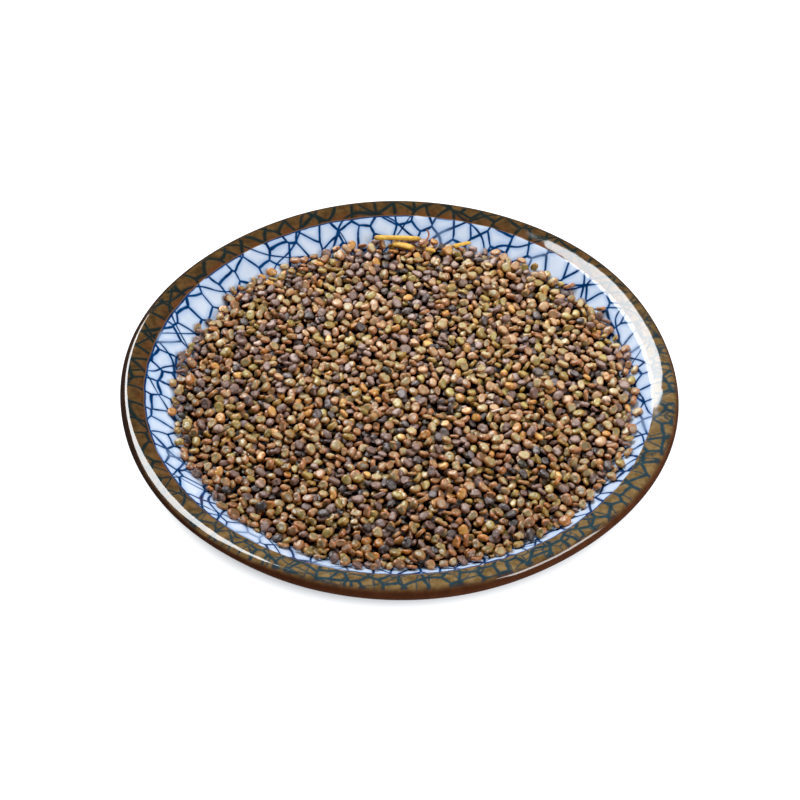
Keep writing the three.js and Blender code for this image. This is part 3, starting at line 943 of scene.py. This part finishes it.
def make_strip(name, path, width, thickness, material, taper=0.25, sides=14, steps=28, ribs=0.05):
    """A closed flattened tube through the points of a path, with faint ribs along it."""
    path = np.asarray(path, float)
    grain = np.linspace(0, 1, len(path))
    t = np.linspace(0, 1, steps)
    if len(path) > 2:
        order = min(3, len(path) - 1)
        centre = np.stack([np.polyval(np.polyfit(grain, path[:, i], order), t) for i in range(3)], -1)
    else:
        centre = path[0] + t[:, None] * (path[1] - path[0])
    ahead = np.gradient(centre, axis=0)
    ahead /= np.linalg.norm(ahead, axis=1)[:, None]
    side = np.cross(ahead, (0.0, 0.0, 1.0))
    side /= np.linalg.norm(side, axis=1)[:, None]
    up = np.cross(side, ahead)
    length = np.linalg.norm(path[-1] - path[0])
    turn = np.arange(sides) / sides * 2 * math.pi
    end = np.clip(np.minimum(t, 1 - t) / 0.06, 0, 1) ** 0.5
    wide = width / 2 * (1 - taper * t) * (0.35 + 0.65 * end)
    thick = thickness / 2 * (1 - taper * t) * (0.35 + 0.65 * end)
    ridge = 1 + ribs * np.cos(5 * turn)
    sway = 1 + 0.06 * np.sin(9 * t + 1.3)
    vertices = (
        centre[:, None, :]
        + (wide * sway)[:, None, None] * (ridge * np.cos(turn))[None, :, None] * side[:, None, :]
        + thick[:, None, None] * (ridge * np.sin(turn))[None, :, None] * up[:, None, :]
    ).reshape(-1, 3)
    along, around = (t * length)[:, None], (turn * width / 2)[None, :]
    local = np.stack(np.broadcast_arrays(along, around, 0.0), -1).reshape(-1, 3)
    faces = []
    for row in range(steps - 1):
        faces += band(row * sides, (row + 1) * sides, sides)
    faces.append(tuple(range(sides - 1, -1, -1)))
    faces.append(tuple(range((steps - 1) * sides, steps * sides)))
    piece = new_mesh(name, vertices, faces)
    put_attribute(piece, "local", local)
    put_attribute(piece, "ends", np.repeat(1 - np.clip(np.minimum(t, 1 - t) / 0.12, 0, 1), sides))
    dress(piece, material)


def lay(heap, start, end, thickness, sink=0.25):
    """The ends of a stiff stalk that lies on the seeds, as low as they let it."""
    t = np.linspace(0, 1, 15)
    under = np.array([heap.top(*(np.array(start) * (1 - k) + np.array(end) * k), reach=0.25) for k in t])
    middle, slope = min((max(under - slope * t) + slope / 2, slope) for slope in np.linspace(-1.6, 1.6, 33))
    low = middle - slope / 2
    lift = thickness / 2 - sink
    return (*start, low + lift), (*end, low + slope + lift)


# ends of the yellow stalks, width and thickness
STALKS = (
    ((-5.7, 47.7), (5.2, 47.5), 1.5, 1.15),
    ((-1.4, 47.1), (3.4, 44.9), 1.9, 1.1),
    ((12.6, 44.8), (16.8, 47.8), 1.25, 0.8),
    ((6.2, 44.6), (8.5, 44.6), 1.1, 0.8),
)
STALK_RISE = 0.12  # of their middle over the straight line
# the twig's points, their heights over the seeds; ends and width of the chips; the husk
TWIG = ((4.2, 45.9, 0.0), (5.6, 46.2, 0.25), (6.8, 46.9, 0.8), (6.9, 47.9, 1.6), (6.4, 48.6, 2.2))
CHIPS = (((19.5, -10.1), (22.3, -8.5), 0.55), ((18.9, -7.2), (20.3, -6.8), 0.5))
CHIP_THICKNESS = 0.35
HUSK_AT = (44.4, -5.4)
HUSK_HEIGHT = 0.85
HUSK_SKINS = ((0, 1.0), (1, 0.86))  # outer and inner, and their sizes in mm


def make_chaff(heap):
    straw = straw_material("straw", (232, 192, 86), (190, 136, 44))
    for index, (start, end, width, thickness) in enumerate(STALKS):
        low, high = lay(heap, start, end, thickness)
        middle = (np.array(low) + np.array(high)) / 2 + (0, 0, STALK_RISE)
        make_strip(f"stalk_{index + 1}", [low, middle, high], width, thickness, straw)
    bark = straw_material("bark", (196, 128, 92), (120, 62, 40), across=0.1)
    base = heap.top(4.9, 46.4) - 0.1
    twig = [(x, y, base + height) for x, y, height in TWIG]
    make_strip("twig", twig, 0.55, 0.5, bark, taper=0.35, sides=10, ribs=0.03)
    chip = straw_material("chip", (238, 222, 204), (196, 166, 146), across=0.2)
    for index, (start, end, width) in enumerate(CHIPS):
        ends = lay(heap, start, end, CHIP_THICKNESS, sink=0.05)
        name = f"chip_{index + 1}"
        make_strip(name, ends, width, CHIP_THICKNESS, chip, taper=0.4, sides=8, steps=8, ribs=0.12)
    make_husk(heap, HUSK_AT, straw_material("husk", (240, 216, 190), (206, 164, 134), across=0.3))


def make_husk(heap, centre, material):
    """Half of an empty seed coat, open side down, with a split in its edge."""
    sides, rings = 20, 7
    turn = np.arange(sides) / sides * 2 * math.pi
    base = heap.top(*centre, reach=0.6) - 0.35
    split = 1 - 0.5 * np.exp(-(((turn - 5.2) / 0.22) ** 2)) + 0.35 * np.exp(-(((turn - 5.65) / 0.2) ** 2))
    vertices, local = [], []
    for skin, size in HUSK_SKINS:
        for ring in range(1, rings + 1):
            k = ring / rings
            radius = size * k**0.8 * (0.85 + 0.1 * np.cos(2 * turn)) * (1 + (split - 1) * k**3)
            z = base + size * HUSK_HEIGHT * np.sqrt(np.clip(1 - k**2 * 0.97, 0, 1)) - 0.05 * skin + 0 * turn
            x, y = round_points(radius, turn)
            vertices += np.c_[centre[0] + x, centre[1] + y, z].tolist()
            local += np.c_[radius * 2, turn * 0.5, z].tolist()
    tops = len(vertices)
    for skin, size in HUSK_SKINS:
        vertices.append((*centre, base + size * HUSK_HEIGHT - 0.05 * skin))
        local.append((0.0, 0.0, 0.0))
    faces = []
    for skin in (0, 1):
        first = skin * rings * sides
        for i in range(sides):
            j = (i + 1) % sides
            face = (tops + skin, first + i, first + j)
            faces.append(face if skin == 0 else face[::-1])
            for ring in range(rings - 1):
                a, b = first + ring * sides, first + (ring + 1) * sides
                face = (a + i, b + i, b + j, a + j)
                faces.append(face if skin == 0 else face[::-1])
    outer, inner = (rings - 1) * sides, (2 * rings - 1) * sides
    faces += [(outer + i, inner + i, inner + (i + 1) % sides, outer + (i + 1) % sides) for i in range(sides)]
    piece = new_mesh("husk", vertices, faces)
    put_attribute(piece, "local", local)
    put_attribute(piece, "ends", np.zeros(len(vertices)))
    dress(piece, material)


# ---------------------------------------------------------------- camera, light and floor
CAMERA_RISE = math.radians(44.47)
CAMERA_DISTANCE = 450.0
CAMERA_FOCUS = (0.0, 0.0, 19.8)  # the middle of the rim
CAMERA_AIM = (0.26, -6.9, 19.8)  # what the middle of the picture shows
LENS_PIXELS = 2088.7
PICTURE = 800
FLOOR_PAINTED_SHADOW = (57.5, 62.5)  # painted shadow: the floor is darker inside the first radius and white outside the second
FLOOR_PAINTED_SHADOW_AT = (0.0, 13.5, 0.0)
FLOOR_GLOW = (0.3, 1.0)  # its own light there and outside
FLOOR_REACH = 2500
WORLD_LIGHT = 0.06
WORLD_SEEN = 1.2  # by the camera
BLACK_LEVEL = 0.0045  # the picture's darkest tones are cut off, as in the photograph


def add_camera():
    data = bpy.data.cameras.new("camera")
    data.sensor_width = 36
    data.lens = LENS_PIXELS / PICTURE * data.sensor_width
    data.clip_start = 0.01
    camera = bpy.data.objects.new("camera", data)
    bpy.context.scene.collection.objects.link(camera)
    away = Vector((0, -math.cos(CAMERA_RISE), math.sin(CAMERA_RISE)))
    place = Vector(CAMERA_FOCUS) + CAMERA_DISTANCE * away
    camera.location = place * MM
    camera.rotation_euler = (Vector(CAMERA_AIM) - place).to_track_quat("-Z", "Y").to_euler()
    bpy.context.scene.camera = camera


def add_softbox(name, direction, distance, size, brightness, shape="RECTANGLE"):
    """A flat light that faces the dish, width lying level.

    direction is where it stands as seen from the dish: degrees clockwise from straight back, and degrees up.
    """
    round_way, up_way = (math.radians(turn) for turn in direction)
    level = math.cos(up_way)
    direction = Vector((math.sin(round_way) * level, math.cos(round_way) * level, math.sin(up_way)))
    data = bpy.data.lights.new(name, "AREA")
    data.shape = shape
    data.size, data.size_y = size
    data.energy = brightness * math.pi * size[0] * size[1] * (math.pi / 4 if shape == "ELLIPSE" else 1)
    light = bpy.data.objects.new(name, data)
    bpy.context.scene.collection.objects.link(light)
    light.location = direction * distance + Vector((0, 0, DISH_HEIGHT * MM))
    light.rotation_euler = (-direction).to_track_quat("-Z", "Y").to_euler()
    return light


def add_floor():
    """A white floor that hardly shows a shadow, as in the photograph, with a painted shadow right under the
    dish, where its own light is dimmer.
    """
    s = Shader("floor_white")
    place = s.node("ShaderNodeTexCoord", "Object")
    away = s.vector("DISTANCE", place, tuple(Vector(FLOOR_PAINTED_SHADOW_AT) * MM))
    # painted shadow: the floor's own light is dimmer within a disc under the dish
    glow = s.step(away, *(radius * MM for radius in FLOOR_PAINTED_SHADOW), *FLOOR_GLOW)
    s.cover({
        "Emission Strength": glow,
        "Base Color": (0.3, 0.3, 0.3),
        "Roughness": 0.9,
        "Specular IOR Level": 0.0,
        "Emission Color": (1, 1, 1),
    })  # fmt: skip
    # clear when seen from below, so that the dish's underside shows
    clear = s.node("ShaderNodeBsdfTransparent")
    below = s.node("ShaderNodeNewGeometry", "Backfacing")
    mixed = s.node("ShaderNodeMixShader", inputs={0: below, 1: s.surface.outputs[0], 2: clear})
    s.set(s.tree.nodes["Material Output"].inputs["Surface"], mixed)
    corners = [(x * FLOOR_REACH, y * FLOOR_REACH, 0) for x, y in ((-1, -1), (1, -1), (1, 1), (-1, 1))]
    floor = new_mesh("floor", corners, [(0, 1, 2, 3)], smooth=False)
    floor.data.materials.append(s.material)
    floor.visible_glossy = False


def add_world():
    """Dim and even from all round; the camera alone sees it as white as the floor."""
    world = bpy.data.worlds.new("studio")
    world.use_nodes = True
    tree = world.node_tree
    path = tree.nodes.new("ShaderNodeLightPath")
    strength = tree.nodes.new("ShaderNodeMapRange")
    strength.inputs["To Min"].default_value = WORLD_LIGHT
    strength.inputs["To Max"].default_value = WORLD_SEEN
    tree.links.new(path.outputs["Is Camera Ray"], strength.inputs["Value"])
    tree.nodes["Background"].inputs["Color"].default_value = (1, 1, 1, 1)
    tree.links.new(strength.outputs[0], tree.nodes["Background"].inputs["Strength"])
    bpy.context.scene.world = world


# ---------------------------------------------------------------- the scene
add_camera()
dish, along = make_dish()
foot_start = along[-1] - (FOOT_RADIUS - FOOT_WIDTH - 0.6) - FOOT_HEIGHT - FOOT_WIDTH
dress(dish, Glaze("glaze", (foot_start - 0.2, foot_start + FOOT_WIDTH)).material)
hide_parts("dish")

heap = Heap(RANDOM)
make_seeds(heap, RANDOM)
make_core()
make_chaff(heap)

add_floor()
window = add_softbox("window", (-36, 46.4), 1.325, (0.76, 0.90), 13.5, "ELLIPSE")
window.data.color = (0.94, 0.97, 1.0)
add_softbox("fill", (122, 31), 0.9, (0.50, 0.34), 9.5)
overhead = add_softbox("overhead", (60, 66), 0.55, (0.4, 0.4), 3.1)
overhead.visible_glossy = False
add_world()
bpy.context.scene.view_settings.view_transform = "Standard"
bpy.context.scene.view_settings.look = "None"
bpy.context.scene.view_settings.use_curve_mapping = True
bpy.context.scene.view_settings.curve_mapping.black_level = (BLACK_LEVEL,) * 3
